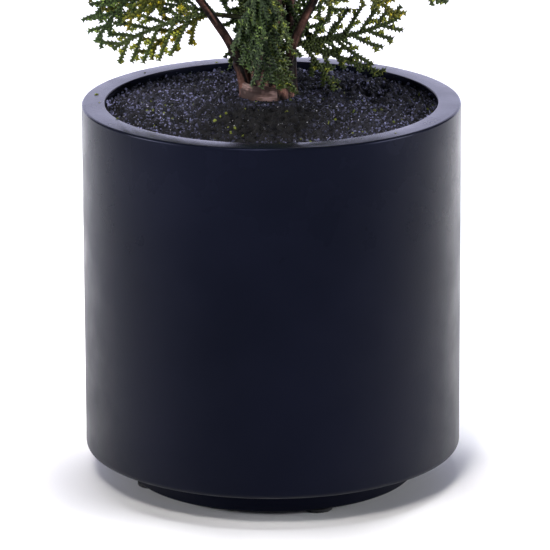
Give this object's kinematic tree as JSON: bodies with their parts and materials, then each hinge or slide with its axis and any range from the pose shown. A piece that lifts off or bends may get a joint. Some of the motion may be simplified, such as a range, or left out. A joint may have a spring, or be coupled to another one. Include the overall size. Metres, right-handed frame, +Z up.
{
  "type": "artificial potted cedar",
  "caption": "Artificial multi-stemmed cedar with flat drooping scale-leaf sprays, standing in a straight dark round planter on a recessed plinth, for patios and entrances.",
  "frame": {"origin": "on the planter's axis, at the underside of its feet", "axes": "+Z up along the planter's axis, -Y towards the front, +X to the right seen from the front"},
  "size_m": [0.5078, 0.5041, 1.409],
  "materials": {
    "planter": "satin moulded planter plastic, near-black navy",
    "feet": "black moulded feet",
    "filling": "fine black grit, loose",
    "bark": "brown moulded bark with wrapped tape grain",
    "foliage": "dark olive moulded sprays with golden tips"
  },
  "bodies": {
    "root": {"bough_high_01": "bark", "bough_high_02": "bark", "bough_high_03": "bark", "bough_high_04": "bark", "bough_high_05": "bark", "bough_high_06": "bark", "bough_high_07": "bark", "bough_high_08": "bark", "bough_high_09": "bark", "bough_high_10": "bark", "bough_high_11": "bark", "bough_high_12": "bark", "bough_high_13": "bark", "bough_low_back_left": "bark", "bough_low_back_right": "bark", "bough_low_left": "bark", "bough_low_right": "bark", "foliage_01": "foliage", "foliage_02": "foliage", "foliage_03": "foliage", "foliage_04": "foliage", "foliage_05": "foliage", "foliage_06": "foliage", "foliage_07": "foliage", "foliage_08": "foliage", "foliage_09": "foliage", "foliage_10": "foliage", "foliage_11": "foliage", "foliage_12": "foliage", "foliage_13": "foliage", "foliage_back_left": "foliage", "foliage_back_right": "foliage", "foliage_left": "foliage", "foliage_low_back": "foliage", "foliage_low_front": "foliage", "foliage_low_left": "foliage", "foliage_low_right": "foliage", "foliage_right": "foliage", "foliage_top": "foliage", "foot_1": "feet", "foot_2": "feet", "foot_3": "feet", "foot_4": "feet", "pot": "planter", "soil": "filling", "trunk": "bark"}
  },
  "joints": []
}
